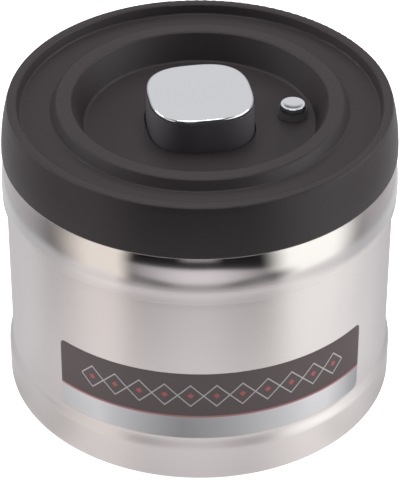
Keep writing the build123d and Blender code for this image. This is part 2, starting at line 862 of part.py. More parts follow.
# Release stem: pin from the button down to the head that carries the seal
with BuildPart() as release_stem:
    head_z = release_seal_z - release_head_height
    with BuildSketch(release_plane):
        with BuildLine():
            Polyline(
                (0, head_z),
                (release_head_radius, head_z),
                (release_head_radius, release_seal_z),
                (release_stem_radius, release_seal_z),
                (release_stem_radius, release_ceiling_z),
                (0, release_ceiling_z),
                close=True,
            )
        make_face()
    revolve(axis=release_axis)
release_stem.part.label = "release_stem"

# Release seal: disc that closes the ports of the seat
with BuildPart() as release_seal:
    with BuildSketch(Plane.XY.offset(release_seal_z)):
        with Locations((release_offset, 0)):
            Circle(release_seal_radius)
            Circle(release_stem_radius + fit_gap, mode=Mode.SUBTRACT)
    extrude(amount=release_seal_thickness)
release_seal.part.label = "release_seal"


def coil(centre_x, low_z, high_z, coil_radius, wire_radius, turns):
    """Make a compression spring that stands between two heights."""
    start_z = low_z + wire_radius + spring_end_gap
    rise = high_z - low_z - 2 * (wire_radius + spring_end_gap)
    with BuildPart() as spring:
        with BuildLine() as path:
            Helix(pitch=rise / turns, height=rise, radius=coil_radius, center=(centre_x, 0, start_z))
        start = path.line @ 0
        with BuildSketch(Plane(origin=start, z_dir=path.line % 0)):
            Circle(wire_radius)
        sweep(path=path.line, is_frenet=True)
    return spring.part


return_spring = coil(
    0, guide_top_z, button_web_under_z, spring_radius, spring_wire_radius, spring_turns
)
return_spring.label = "return_spring"
release_spring = coil(
    release_offset,
    release_seat_top_z,
    release_ceiling_z,
    release_spring_radius,
    release_wire_radius,
    release_spring_turns,
)
release_spring.label = "release_spring"

pieces = [
    canister_body.part,
    front_label.part,
    lid_cover.part,
    mouth_gasket.part,
    inner_plate.part,
    pump_housing.part,
    housing_seal.part,
    housing_screws,
    plate_screws,
    cylinder_cap.part,
    piston.part,
    piston_cup.part,
    button_skirt.part,
    button_cap.part,
    rod_screw.part,
    inlet_valve.part,
    strainer_cap.part,
    release_housing.part,
    release_gasket.part,
    release_button.part,
    release_stem.part,
    release_seal.part,
    return_spring,
    release_spring,
]
for piece in pieces:
    export_step(piece, f"parts/{piece.label}.step")
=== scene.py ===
import json
import math

import bmesh
import bpy
import numpy as np
from mathutils import Matrix, Vector


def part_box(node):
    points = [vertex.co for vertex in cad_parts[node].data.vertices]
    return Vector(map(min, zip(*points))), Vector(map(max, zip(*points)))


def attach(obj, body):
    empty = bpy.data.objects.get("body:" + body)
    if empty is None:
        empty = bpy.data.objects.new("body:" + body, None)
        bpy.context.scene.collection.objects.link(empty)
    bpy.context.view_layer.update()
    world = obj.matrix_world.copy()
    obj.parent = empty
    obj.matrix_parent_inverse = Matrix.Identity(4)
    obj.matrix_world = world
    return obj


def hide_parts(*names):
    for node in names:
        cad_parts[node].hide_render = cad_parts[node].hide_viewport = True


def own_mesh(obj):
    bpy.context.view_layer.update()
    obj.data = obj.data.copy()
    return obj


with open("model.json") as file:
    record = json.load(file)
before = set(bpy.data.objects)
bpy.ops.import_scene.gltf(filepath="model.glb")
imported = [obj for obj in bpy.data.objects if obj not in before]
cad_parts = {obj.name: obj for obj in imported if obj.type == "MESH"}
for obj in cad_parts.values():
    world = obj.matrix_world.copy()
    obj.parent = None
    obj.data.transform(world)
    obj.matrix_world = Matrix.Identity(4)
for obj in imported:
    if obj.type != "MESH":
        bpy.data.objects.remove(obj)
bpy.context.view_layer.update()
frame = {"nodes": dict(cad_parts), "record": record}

# Lengths are in millimetres up to the moment a mesh, a lamp or a socket takes them
mm = 0.001


class Wire:
    # One output socket of a node tree. Sums and products of wires add their own Math nodes.
    def __init__(self, tree, socket=None):
        self.tree = tree
        self.socket = socket

    def node(self, kind, settings=None, inputs=None, out=0):
        # A new node: its settings come first, then the values or links of its sockets
        made = self.tree.nodes.new(kind)
        for name, value in (settings or {}).items():
            if name == "stops":
                self.setStops(made.color_ramp, value)
            else:
                setattr(made, name, value)
        for name, value in (inputs or {}).items():
            if isinstance(value, Wire):
                self.tree.links.new(value.socket, made.inputs[name])
            else:
                made.inputs[name].default_value = value
        return Wire(self.tree, made.outputs[out]) if made.outputs else None

    def setStops(self, ramp, stops):
        while len(ramp.elements) < len(stops):
            ramp.elements.new(0.5)
        for element, (place, colour) in zip(ramp.elements, stops):
            element.position = place
            element.color = colour

    def outputs(self, *names):
        # Other outputs of the node that this wire comes from
        return [Wire(self.tree, self.socket.node.outputs[name]) for name in names]

    def maths(self, operation, *others):
        values = dict(enumerate((self, *others)))
        return self.node("ShaderNodeMath", {"operation": operation}, values)

    def __add__(self, other):
        return self.maths("ADD", other)

    def __sub__(self, other):
        return self.maths("SUBTRACT", other)

    def __rsub__(self, other):
        return self.node("ShaderNodeMath", {"operation": "SUBTRACT"}, {0: other, 1: self})

    def __mul__(self, other):
        return self.maths("MULTIPLY", other)

    def __truediv__(self, other):
        return self.maths("DIVIDE", other)

    def __abs__(self):
        return self.maths("ABSOLUTE")

    __radd__ = __add__
    __rmul__ = __mul__


def blankWires(owner):
    # Start wire for the emptied nodes of a material or a world
    owner.use_nodes = True
    owner.node_tree.nodes.clear()
    return Wire(owner.node_tree)


def mixColours(factor, first, second):
    # factor is a wire; the colours are wires or RGBA values. In its colour form the node takes
    # them at sockets 6 and 7 and gives the result at 2.
    return factor.node(
        "ShaderNodeMix", {"data_type": "RGBA"}, {"Factor": factor, 6: first, 7: second}, out=2
    )


def grey(level, warm=0.0):
    return (level * (1 + warm), level, level * (1 - warm), 1)


def noise(start, scale, stretch=(1, 1, 1), detail=3):
    # Noise in the part's own metres, so it keeps its size on every piece
    place = start.node("ShaderNodeTexCoord", out="Object")
    place = start.node("ShaderNodeVectorMath", {"operation": "MULTIPLY"}, {0: place, 1: stretch})
    inputs = {"Vector": place, "Scale": scale, "Detail": detail}
    return start.node("ShaderNodeTexNoise", inputs=inputs)


def bumpFrom(start, height, strength, depth):
    inputs = {"Height": height, "Strength": strength, "Distance": depth * mm}
    return start.node("ShaderNodeBump", inputs=inputs)


def partPlace(start):
    # x, y and z of the point in the part's own metres
    place = start.node("ShaderNodeTexCoord", out="Object")
    return start.node("ShaderNodeSeparateXYZ", inputs={"Vector": place}).outputs("X", "Y", "Z")


def reachOf(x, y):
    # Distance from the canister's axis
    return (x * x + y * y).maths("SQRT")


def fade(value, edges, unit=1):
    # 0 below the first edge, 1 above the second, smooth in between
    low, high = edges
    return value.node(
        "ShaderNodeMapRange",
        {"interpolation_type": "SMOOTHSTEP"},
        {"Value": value, "From Min": low * unit, "From Max": high * unit},
    )


def step(value, edges, height, unit=1):
    # The same, up to a height
    return fade(value, edges, unit) * height


def band(value, edges, height):
    # Up to a height between the first two of four edges, and down again between the last two
    return fade(value, edges[:2]) * (1 - fade(value, edges[2:])) * height


def newMaterial(name, build, **sockets):
    # build gets the start wire and gives the linked inputs; sockets holds the plain ones
    material = bpy.data.materials.new(name)
    start = blankWires(material)
    surface = start.node("ShaderNodeBsdfPrincipled", inputs={**sockets, **build(start)})
    start.node("ShaderNodeOutputMaterial", inputs={"Surface": surface})
    return material


steel = {
    "tones": ((0.630, 0.593, 0.588, 1), (0.650, 0.614, 0.609, 1)),
    "satin": 0.40,            # roughness of the brushed waist
    "polished": 0.13,         # roughness of the rolled neck
    "neckStart": (72, 78),    # heights between which one turns into the other
    "brush": {"scale": 2600, "stretch": (0.02, 0.02, 1), "detail": 2},
    "brushShare": 0.05,       # of the roughness
    "brushStrength": 0.05,
    "brushDepth": 0.02,
    "cloud": {"scale": 30},
    "cloudShare": 0.04,
    "sockets": {"Metallic": 1.0, "Anisotropic": 0.85, "Anisotropic Rotation": 0.25},
}


def buildSteel(start):
    z = partPlace(start)[2]
    brush = noise(start, **steel["brush"])
    cloud = noise(start, **steel["cloud"])
    neck = fade(z, steel["neckStart"], mm)
    satin = steel["satin"] + (brush - 0.5) * steel["brushShare"]
    satin = satin + (cloud - 0.5) * steel["cloudShare"]
    return {
        "Base Color": mixColours(cloud, *steel["tones"]),
        "Roughness": satin * (1 - neck) + steel["polished"] * neck,
        "Normal": bumpFrom(start, brush, steel["brushStrength"], steel["brushDepth"]),
    }


lidPlastic = {
    "tones": ((0.0405, 0.0335, 0.0362, 1), (0.0455, 0.0377, 0.0406, 1)),
    "edge": (0.42, 0.38, 0.35, 1),    # painted highlight: the thin lower edge, lightened in colour
    "highlightHeights": (88.84, 89.02),
    "highlightReach": (64.0, 64.3),
    "grain": {"scale": 2200, "detail": 2},
    "grainStrength": 0.25,
    "grainDepth": 0.04,
    "cloud": {"scale": 45},
    "cloudShare": 0.08,
    "roughness": 0.42,
    "sockets": {"Specular IOR Level": 0.22},
}


def buildLidPlastic(start):
    x, y, z = partPlace(start)
    grain = noise(start, **lidPlastic["grain"])
    cloud = noise(start, **lidPlastic["cloud"])
    # Painted highlight: a light line along the skirt's thin lower edge
    edge = 1 - fade(z, lidPlastic["highlightHeights"], mm)
    edge = edge * fade(reachOf(x, y), lidPlastic["highlightReach"], mm)
    tone = mixColours(cloud, *lidPlastic["tones"])
    return {
        "Base Color": mixColours(edge, tone, lidPlastic["edge"]),
        "Roughness": lidPlastic["roughness"] + (cloud - 0.5) * lidPlastic["cloudShare"],
        "Normal": bumpFrom(start, grain, lidPlastic["grainStrength"], lidPlastic["grainDepth"]),
    }


# What the plain finishes share: a fine grain, and a cloud that blends their two tones
plain = {
    "grain": {"scale": 1500, "detail": 2},
    "grainStrength": 0.1,
    "grainDepth": 0.03,
    "cloud": {"scale": 60},
    "cloudShare": 0.08,
}


def plainBuild(tones, roughness, grainStrength=plain["grainStrength"]):
    def build(start):
        grain = noise(start, **plain["grain"])
        cloud = noise(start, **plain["cloud"])
        return {
            "Base Color": mixColours(cloud, *tones),
            "Roughness": roughness + (cloud - 0.5) * plain["cloudShare"],
            "Normal": bumpFrom(start, grain, grainStrength, plain["grainDepth"]),
        }
    return build


buttonPlastic = {
    "skirt": {
        "tones": ((0.116, 0.110, 0.120, 1), (0.122, 0.116, 0.126, 1)),
        "roughness": 0.30,
        "grainStrength": 0.04,
    },
    "collar": (0.255, 0.245, 0.252, 1),    # painted sheen: lighter than the skirt of the pump button
    # painted shade along the collar's top rim, round the chrome button
    "collarRim": (0.030, 0.029, 0.031, 1),
    "collarPlace": (20, 22),               # along x, past the pump button
    "rimShadeDepth": (0.32, 0.12),
}


def buildButtonPlastic(start):
    inputs = plainBuild(**buttonPlastic["skirt"])(start)
    x, _, z = partPlace(start)
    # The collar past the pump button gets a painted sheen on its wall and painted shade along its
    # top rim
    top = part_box("release_housing")[1].z
    rim = fade(z, [top - depth * mm for depth in buttonPlastic["rimShadeDepth"]])
    collar = mixColours(rim, buttonPlastic["collar"], buttonPlastic["collarRim"])
    past = fade(x, buttonPlastic["collarPlace"], mm)
    return {**inputs, "Base Color": mixColours(past, inputs["Base Color"], collar)}


label = {
    "radius": 63.9,
    "turn": -95.0,            # degrees of its middle from +X
    "span": 99.2,             # degrees too
    "bottom": 16.5,
    "height": 26.4,
    "corner": 2.0,
    "cornerSteps": 6,
    "columns": 120,
    "thickness": 0.15,
    "stripe": (25.1, 25.8),   # heights of the coral line
    "stripeBlur": 0.05,
    "coral": (0.50, 0.18, 0.19, 1),
    "dark": ((0.076, 0.050, 0.050, 1), (0.082, 0.055, 0.054, 1)),
    "silverAndSheen": (               # silver print with a painted sheen across it, from its left end to its right
        (0.0, (0.64, 0.645, 0.67, 1)),
        (0.14, (0.96, 0.965, 0.99, 1)),
        (0.40, (0.44, 0.445, 0.47, 1)),
        (0.66, (0.81, 0.81, 0.83, 1)),
        (0.80, (0.97, 0.97, 0.99, 1)),
        (0.86, (0.93, 0.93, 0.95, 1)),
        (0.96, (0.45, 0.455, 0.47, 1)),
        (1.0, (0.37, 0.375, 0.39, 1)),
    ),
    "lozengeMiddle": 34.0,
    "lozengeHeight": 4.2,     # half of it
    "lozengeWidth": 8.4,
    "lozengeLine": 0.075,     # share of the half width
    "lozengeDot": 0.26,
    "lozengeCount": 11,
    "outline": (0.55, 0.54, 0.55, 1),
    "dot": (0.52, 0.085, 0.08, 1),
    "grain": {"scale": 120, "detail": 2},
    "grainShare": 0.06,
    "roughness": 0.30,
}


def buildPrint(start):
    x, y, z = partPlace(start)
    turn = math.radians(label["turn"])
    ahead = x * math.cos(turn) + y * math.sin(turn)
    aside = y * math.cos(turn) - x * math.sin(turn)
    angle = aside.maths("ARCTAN2", ahead)
    grain = noise(start, **label["grain"])
    # Silver foot with a painted sheen, coral line, dark field
    share = angle / math.radians(label["span"]) + 0.5
    shade = share.node("ShaderNodeValToRGB", {"stops": label["silverAndSheen"]}, {"Fac": share})
    dark = mixColours(grain, *label["dark"])
    for height, tone in zip(label["stripe"], (label["coral"], dark)):
        edges = (height - label["stripeBlur"], height + label["stripeBlur"])
        shade = mixColours(fade(z, edges, mm), shade, tone)
    # Row of outlined lozenges with a small filled one inside each
    along = angle * (label["radius"] * mm)
    width = label["lozengeWidth"] * mm
    cells = along / width + 0.5
    cell = abs(cells.maths("FRACT") - 0.5) * 2
    rise = abs(z - label["lozengeMiddle"] * mm) / (label["lozengeHeight"] * mm)
    reach = cell + rise
    inside = abs(along).maths("LESS_THAN", width * label["lozengeCount"] / 2)
    line = abs(reach - 1).maths("LESS_THAN", label["lozengeLine"]) * inside
    dot = reach.maths("LESS_THAN", label["lozengeDot"]) * inside
    shade = mixColours(line, shade, label["outline"])
    return {
        "Base Color": mixColours(dot, shade, label["dot"]),
        "Roughness": label["roughness"] + (grain - 0.5) * label["grainShare"],
    }


# The plain finishes by slot: the material's name and what plainBuild takes
plainFinishes = {
    "plate_plastic": (
        "plateMoulding", {"tones": (grey(0.06, 0.03), grey(0.068, 0.03)), "roughness": 0.4},
    ),
    "housing_plastic": (
        "naturalMoulding", {"tones": (grey(0.50, 0.02), grey(0.54, 0.02)), "roughness": 0.45},
    ),
    "chrome": (
        "chromePlate",
        {
            "tones": ((0.735, 0.75, 0.785, 1), (0.75, 0.765, 0.80, 1)),
            "roughness": 0.12, "grainStrength": 0.015,
        },
    ),
    "silicone": (
        "greySilicone", {"tones": (grey(0.55, 0.01), grey(0.6, 0.01)), "roughness": 0.5},
    ),
    "screw_steel": ("screwSteel", {"tones": (grey(0.6), grey(0.65)), "roughness": 0.25}),
    "spring_steel": ("springWire", {"tones": (grey(0.5), grey(0.55)), "roughness": 0.3}),
}
metals = ("chrome", "screw_steel", "spring_steel")

materials = {
    "steel": newMaterial("satinSteel", buildSteel, **steel["sockets"]),
    "label_film": newMaterial("printedFilm", buildPrint),
    "lid_plastic": newMaterial("charcoalMoulding", buildLidPlastic, **lidPlastic["sockets"]),
    "button_plastic": newMaterial("glossBlack", buildButtonPlastic),
}
for slot, (name, values) in plainFinishes.items():
    metallic = 1.0 if slot in metals else 0.0
    materials[slot] = newMaterial(name, plainBuild(**values), Metallic=metallic)

for row in frame["record"]["subparts"]:
    node = frame["nodes"][row["node"]]
    node.data.materials.clear()
    node.data.materials.append(materials[row["material_slot"]])
print("materials on", len(frame["nodes"]), "nodes")


def newMesh(name, points, faces):
    mesh = bpy.data.meshes.new(name)
    mesh.from_pydata([Vector(point) * mm for point in points], [], faces)
    return mesh


def newObject(name, data):
    made = bpy.data.objects.new(name, data)
    bpy.context.scene.collection.objects.link(made)
    return made


def newPiece(name, points, faces, body, finish, *nodes):
    # A smooth piece in place of CAD nodes, riding on their body
    mesh = newMesh(name, points, faces)
    work = bmesh.new()
    work.from_mesh(mesh)
    bmesh.ops.recalc_face_normals(work, faces=work.faces)
    work.to_mesh(mesh)
    work.free()
    mesh.polygons.foreach_set("use_smooth", [True] * len(mesh.polygons))
    mesh.materials.append(materials[finish])
    made = newObject(name, mesh)
    made.modifiers.new("flatsFirst", "WEIGHTED_NORMAL")
    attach(made, body)
    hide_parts(*nodes)
    print(name, len(points), "points")
    return made


def skin(rings):
    # Joins rings of points one to the next; a ring of one point closes an end
    points, starts = [], []
    for ring in rings:
        starts.append(len(points))
        points.extend(ring)
    faces = []
    for low in range(len(rings) - 1):
        high = low + 1
        for turn in range(max(len(rings[low]), len(rings[high]))):
            corners = []
            for ring, place in ((low, turn), (low, turn + 1), (high, turn + 1), (high, turn)):
                corner = starts[ring] + place % len(rings[ring])
                if corner not in corners:
                    corners.append(corner)
            faces.append(corners)
    return points, faces


def circleRing(radius, height, steps, centre=0):
    # centre is the place of the ring's axis along x
    if radius == 0:
        return [(centre, 0, height)]
    turns = [2 * math.pi * turn / steps for turn in range(steps)]
    return [(centre + radius * math.cos(a), radius * math.sin(a), height) for a in turns]


def arc(centre, radius, first, last, steps=8):
    # Points of (radius, height) along an arc, angles in degrees from outward to up
    turns = [math.radians(first + (last - first) * turn / steps) for turn in range(steps + 1)]
    return [(centre[0] + radius * math.cos(a), centre[1] + radius * math.sin(a)) for a in turns]


def smoothThrough(points, steps=10):
    # A curve without a kink through the points, upright at both ends
    points = np.array(points, float)
    gaps = np.hypot(*(points[1:] - points[:-1]).T)
    matrix = np.eye(len(points))
    right = np.zeros((len(points), 2))
    right[0] = right[-1] = (0, 1)
    for i in range(1, len(points) - 1):
        before, after = gaps[i - 1], gaps[i]
        matrix[i, i - 1 : i + 2] = (after, 2 * (before + after), before)
        below, above = points[i] - points[i - 1], points[i + 1] - points[i]
        right[i] = 3 * (after / before * below + before / after * above)
    slopes = np.linalg.solve(matrix, right)
    curve = []
    for i, gap in enumerate(gaps):
        for t in np.linspace(0, 1, steps, endpoint=False):
            start = (1 + 2 * t) * (1 - t) ** 2 * points[i] + t * (1 - t) ** 2 * gap * slopes[i]
            end = t * t * (3 - 2 * t) * points[i + 1] + t * t * (t - 1) * gap * slopes[i + 1]
            curve.append(tuple(start + end))
    return curve + [tuple(points[-1])]


# Steel pot: drawn from one sheet, so its inside follows its outside a wall further in
pot = {
    "radius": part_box("canister_body")[1].x / mm,
    "lip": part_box("canister_body")[1].z / mm,
    "wall": 0.8,
    "waistInset": 1.25,
    "throatInset": 3.6,
    "edge": 1.0,
    "footBand": 11.8,
    "shoulder": 4.2,
    "throat": 7.5,
    "neck": 19.9,
    "neckStep": 0.8,
    "neckBulge": 0.12,
    "neckShares": (0.24, 0.57, 0.80),    # heights on the neck, as shares of it
    "fallShares": (0.15, 0.58),          # how far in the upper two of them are
    "ringWidth": 7.0,
    "recessSlope": 2.0,
    "recess": 1.2,
    "lipWidth": 1.6,
    "lipDepth": 1.5,
    "crest": 0.4,
    "columns": 288,
}


def potSide(inset):
    side = pot["radius"] - inset
    waist = side - pot["waistInset"]
    throat = side - pot["throatInset"]
    bulge = side + pot["neckBulge"]
    top = pot["lip"] - pot["throat"]
    neck = top - pot["neck"]
    low, middle, high = (neck + share * pot["neck"] for share in pot["neckShares"])
    first, second = (side - share * pot["throatInset"] for share in pot["fallShares"])
    profile = arc((side - pot["edge"], inset + pot["edge"]), pot["edge"], -90, 0)
    profile += smoothThrough([(side, pot["footBand"]), (waist, pot["footBand"] + pot["shoulder"])])
    profile += smoothThrough([(waist, neck - pot["neckStep"]), (side, neck)])
    shoulder = [(side, neck), (bulge, low), (first, middle), (second, high), (throat, top)]
    return profile + smoothThrough(shoulder)[1:]


def makePot():
    crest, wall = pot["crest"], pot["wall"]
    ring = pot["radius"] - pot["ringWidth"]
    hollow = ring - pot["recessSlope"]
    throat = pot["radius"] - pot["throatInset"]
    curl = throat - wall + pot["lipWidth"]
    curlBottom = pot["lip"] - pot["lipDepth"]
    profile = [(0, pot["recess"]), (hollow, pot["recess"]), (ring, 0)]
    profile += potSide(0)
    profile += [(throat, curlBottom)]
    profile += arc((curl - crest, curlBottom + crest), crest, -90, 0)
    profile += arc((curl - crest, pot["lip"] - crest), crest, 0, 90)
    profile += [(throat - wall, pot["lip"])]
    profile += reversed(potSide(wall))
    profile += [(ring, wall), (hollow, pot["recess"] + wall), (0, pot["recess"] + wall)]
    rings = [circleRing(radius, height, pot["columns"]) for radius, height in profile]
    newPiece("steelPot", *skin(rings), "canister", "steel", "canister_body")


makePot()


def makeLabel():
    # The film's outer face in rows, with rounded corners, and a rim back to the steel
    corner, height, outer = label["corner"], label["height"], label["radius"]
    columns, corners = label["columns"], label["cornerSteps"]
    middle = math.radians(label["turn"])
    quarter = math.pi / 2
    rises = [corner * (1 - math.cos(quarter * turn / corners)) for turn in range(corners + 1)]
    rises += [height - rise for rise in reversed(rises)]
    points = []
    for rise in rises:
        depth = max(corner - rise, rise - height + corner, 0)
        inset = corner - math.sqrt(corner * corner - depth * depth)
        half = math.radians(label["span"]) / 2 - inset / outer
        turns = [middle + half * (2 * column / columns - 1) for column in range(columns + 1)]
        level = label["bottom"] + rise
        points += [(outer * math.cos(a), outer * math.sin(a), level) for a in turns]
    wide, rows = columns + 1, len(rises)
    faces = []
    for row in range(rows - 1):
        for column in range(columns):
            low = row * wide + column
            faces.append([low, low + 1, low + 1 + wide, low + wide])
    flat = len(faces)
    border = list(range(wide)) + [row * wide + columns for row in range(1, rows)]
    border += [(rows - 1) * wide + column for column in reversed(range(columns))]
    border += [row * wide for row in reversed(range(1, rows - 1))]
    shrink = (outer - label["thickness"]) / outer
    start = len(points)
    points += [(points[i][0] * shrink, points[i][1] * shrink, points[i][2]) for i in border]
    for place, point in enumerate(border):
        after = (place + 1) % len(border)
        faces.append([point, border[after], start + after, start + place])
    made = newPiece("labelFilm", points, faces, "canister", "label_film", "front_label")
    for polygon in made.data.polygons[flat:]:
        polygon.use_smooth = False


makeLabel()

# Pump button: a bright cap with a rounded edge on a black skirt that widens downwards
pumpButton = {
    "half": 17.0,
    "draft": 0.35,
    "roundness": 2.8,
    "columns": 480,
    "top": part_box("button_cap")[1].z / mm,
    "cap": 1.5,
    "capEdge": 1.0,
    "capEdgeSteps": 12,
    "capUnder": (0.3, 0.1),           # inset and height of the bevel under the cap
    "capShares": (0.88, 0.6, 0.3),    # rings on its flat top
    "capGap": 0.05,
    "foot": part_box("button_skirt")[0].z / mm,
    "footBevel": (0.15, 0.2),
    "wall": 1.6,
    "web": 1.6,
    "webInset": 0.5,
    "webBevel": 0.12,
}


def squareRing(half, height):
    # Rounded square seen from above
    power, columns = pumpButton["roundness"], pumpButton["columns"]
    ring = []
    for column in range(columns):
        turn = 2 * math.pi * column / columns
        cosine, sine = math.cos(turn), math.sin(turn)
        reach = half / (abs(cosine) ** power + abs(sine) ** power) ** (1 / power)
        ring.append((reach * cosine, reach * sine, height))
    return ring


def makePumpButton():
    half, top, edge = pumpButton["half"], pumpButton["top"], pumpButton["capEdge"]
    bottom = top - pumpButton["cap"]
    inset, rise = pumpButton["capUnder"]
    rounding = arc((half - edge, top - edge), edge, 0, 90, pumpButton["capEdgeSteps"])
    profile = [(half - inset, bottom), (half, bottom + rise), *rounding]
    profile += [(half * share, top) for share in pumpButton["capShares"]]
    rings = [squareRing(reach, height) for reach, height in profile]
    rings = [[(0, 0, bottom)], *rings, [(0, 0, top)]]
    newPiece("pumpCap", *skin(rings), "pump_button", "chrome", "button_cap")
    foot, wall, bevel = pumpButton["foot"], pumpButton["wall"], pumpButton["webBevel"]
    footHalf = half + pumpButton["draft"]
    inset, rise = pumpButton["footBevel"]
    webTop = bottom - pumpButton["capGap"]
    webUnder = webTop - pumpButton["web"]
    profile = [(half - pumpButton["webInset"], webTop), (half - bevel, webTop)]
    profile += [(half, webTop - bevel), (footHalf, foot + rise), (footHalf - inset, foot)]
    profile += [(footHalf - wall, foot), (half - wall, webUnder)]
    rings = [squareRing(reach, height) for reach, height in profile]
    rings = [[(0, 0, webTop)], *rings, [(0, 0, webUnder)]]
    newPiece("pumpSkirt", *skin(rings), "pump_button", "button_plastic", "button_skirt")


makePumpButton()

# Release button: chrome with a flat rim round a shallow dish
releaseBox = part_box("release_button")
releaseButton = {
    "offset": (releaseBox[0].x + releaseBox[1].x) / 2 / mm,
    "radius": (releaseBox[1].x - releaseBox[0].x) / 2 / mm,
    "top": releaseBox[1].z / mm,
    "bottom": releaseBox[0].z / mm,
    "edge": 0.4,
    "rim": 0.55,
    "dish": 0.55,
    "dishShares": (1, 0.97, 0.85, 0.7, 0.5, 0.3, 0.15, 0),
    "columns": 96,
}


def makeReleaseButton():
    radius, edge, dish = releaseButton["radius"], releaseButton["edge"], releaseButton["dish"]
    top, bottom = releaseButton["top"], releaseButton["bottom"]
    dishRadius = radius - edge - releaseButton["rim"]
    bowl = (dishRadius ** 2 + dish ** 2) / (2 * dish)
    profile = [(0, bottom), (radius, bottom)]
    profile += arc((radius - edge, top - edge), edge, 0, 90)
    for share in releaseButton["dishShares"]:
        place = dishRadius * share
        profile.append((place, top - dish + bowl - math.sqrt(bowl ** 2 - place ** 2)))
    columns, centre = releaseButton["columns"], releaseButton["offset"]
    rings = [circleRing(reach, height, columns, centre) for reach, height in profile]
    newPiece("releaseCap", *skin(rings), "release_valve", "chrome", "release_button")


makeReleaseButton()

# Springs, coiled over the height of their CAD nodes
springs = {
    "returnCoil": {
        "node": "return_spring", "joint": "pump_press", "travel": 8.15,
        "radius": 9.0, "wire": 0.5, "turns": 4.25, "centre": 0,
    },
    "releaseCoil": {
        "node": "release_spring", "joint": "release_press", "travel": 2.08,
        "radius": 2.55, "wire": 0.2, "turns": 6.25, "centre": releaseButton["offset"],
    },
}
coil = {"stepsPerTurn": 28, "sides": 10}


def makeSprings():
    sides = [2 * math.pi * side / coil["sides"] for side in range(coil["sides"])]
    for name, spring in springs.items():
        radius, wire, turns = spring["radius"], spring["wire"], spring["turns"]
        low, high = (corner.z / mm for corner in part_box(spring["node"]))
        rise = high - low - 2 * wire
        slope = math.atan2(rise, 2 * math.pi * radius * turns)
        lean, climb = math.sin(slope), math.cos(slope)
        count = int(turns * coil["stepsPerTurn"])
        middles, rings = [], []
        for place in range(count + 1):
            turn = 2 * math.pi * turns * place / count
            out = Vector((math.cos(turn), math.sin(turn), 0))
            up = Vector((math.sin(turn) * lean, -math.cos(turn) * lean, climb))
            base = Vector((spring["centre"], 0, low + wire + rise * place / count))
            middles.append(out * radius + base)
            rings.append(
                [middles[-1] + (out * math.cos(a) + up * math.sin(a)) * wire for a in sides]
            )
        rings = [[middles[0]], *rings, [middles[-1]]]
        made = newPiece(name, *skin(rings), "lid", "spring_steel", spring["node"])
        keep = 1 - spring["travel"] / (high - low)
        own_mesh(made)


makeSprings()

# The studio's front is turned a little round the canister, and the camera stands there
studio = {"turn": -10.1}


def roundStudio(turn, distance, height):
    # A place at an angle round the canister, in degrees from the studio's front to its right
    angle = math.radians(studio["turn"] + turn)
    return Vector((math.sin(angle) * distance, -math.cos(angle) * distance, height)) * mm


def turnFromFront(x, y):
    # The same angle as a wire
    turn = math.radians(studio["turn"])
    ahead = x * math.sin(turn) - y * math.cos(turn)
    aside = x * math.cos(turn) + y * math.sin(turn)
    return aside.maths("ARCTAN2", ahead) / math.radians(1)


camera = {
    "distance": 668.85,
    "height": 533.31,
    "sideways": 0.15,
    "tilt": 35.894,
    "roll": 0.165,
    "lens": 184.16,
    "sensor": 36,
    "nearest": 10,    # where its view begins
}


def placeCamera():
    data = bpy.data.cameras.new("camera")
    data.lens = camera["lens"]
    data.sensor_width = camera["sensor"]
    data.clip_start = camera["nearest"] * mm
    made = newObject("camera", data)
    turn = math.radians(studio["turn"])
    right = Vector((math.cos(turn), math.sin(turn), 0))
    place = roundStudio(0, camera["distance"], camera["height"])
    place = place + right * camera["sideways"] * mm
    facing = Matrix.Rotation(turn, 4, "Z")
    facing = facing @ Matrix.Rotation(math.radians(90 - camera["tilt"]), 4, "X")
    facing = facing @ Matrix.Rotation(math.radians(camera["roll"]), 4, "Z")
    made.matrix_world = Matrix.Translation(place) @ facing
    bpy.context.scene.camera = made


placeCamera()

# The floor, pale and lit for the camera. What the steel mirrors of it is a glow with painted light
# and shade, which goes by the distance from the axis and by the degrees from the studio's front.
# Where a value holds edges and a number, the number is what is added or taken there.
ground = {
    "half": 3000,
    "lit": 0.8,
    "glow": 0.85,                     # added where the camera sees it
    "front": 0.94,
    "frontRises": ((75, 115), 0.46),
    "frontFalls": ((132, 166), 0.86),
    "line": (178, 196),               # painted shade: the dark line where it meets the wall
    "lineDepth": 0.2,
    "lineGrows": ((2, 24), 0.3),
    "lineEases": ((13, 31), 0.26),
    "toSides": (40, 84),
    "sides": 0.68,
    "sidesFall": ((165, 196), 0.18),
    "backRises": ((95, 125), 0.08),
    # painted shade beside the foot
    "besideFoot": (80, 92),
    "footDips": ((38, 54, 70, 90), 0.40),
    "footRises": ((14, 28, 34, 48), 0.10),
    "far": (140, 175),                # where the two soft boxes shine on it, as painted pools of light
    "shines": (((-74, -56, -42, -32), 1.02), ((34, 44, 68, 90), 1.0)),
    "hues": ((1.0, 0.975, 0.985, 1), (0.97, 1.0, 1.03, 1)),
    "hueSides": (50, 100),
}


def mirroredFloor(start):
    x, y, _ = partPlace(start)
    reach, turned = reachOf(x, y), turnFromFront(x, y)
    side = abs(turned)
    line = ground["lineDepth"] + step(side, *ground["lineGrows"]) - step(side, *ground["lineEases"])
    line = fade(reach, ground["line"], mm) * line
    front = ground["front"] + step(reach, *ground["frontRises"], mm)
    front = front - step(reach, *ground["frontFalls"], mm) - line
    sides = ground["sides"] - step(reach, *ground["sidesFall"], mm)
    toSides = fade(side, ground["toSides"])
    tone = front * (1 - toSides) + sides * toSides + step(side, *ground["backRises"])
    dip = band(side, *ground["footDips"]) - band(side, *ground["footRises"])
    tone = tone * (1 - (1 - fade(reach, ground["besideFoot"], mm)) * dip)
    far = fade(reach, ground["far"], mm)
    for edges, level in ground["shines"]:
        shine = band(turned, edges, far)
        tone = tone * (1 - shine) + shine * level
    hue = mixColours(fade(side, ground["hueSides"]), *ground["hues"])
    return start.node("ShaderNodeEmission", inputs={"Color": hue, "Strength": tone})


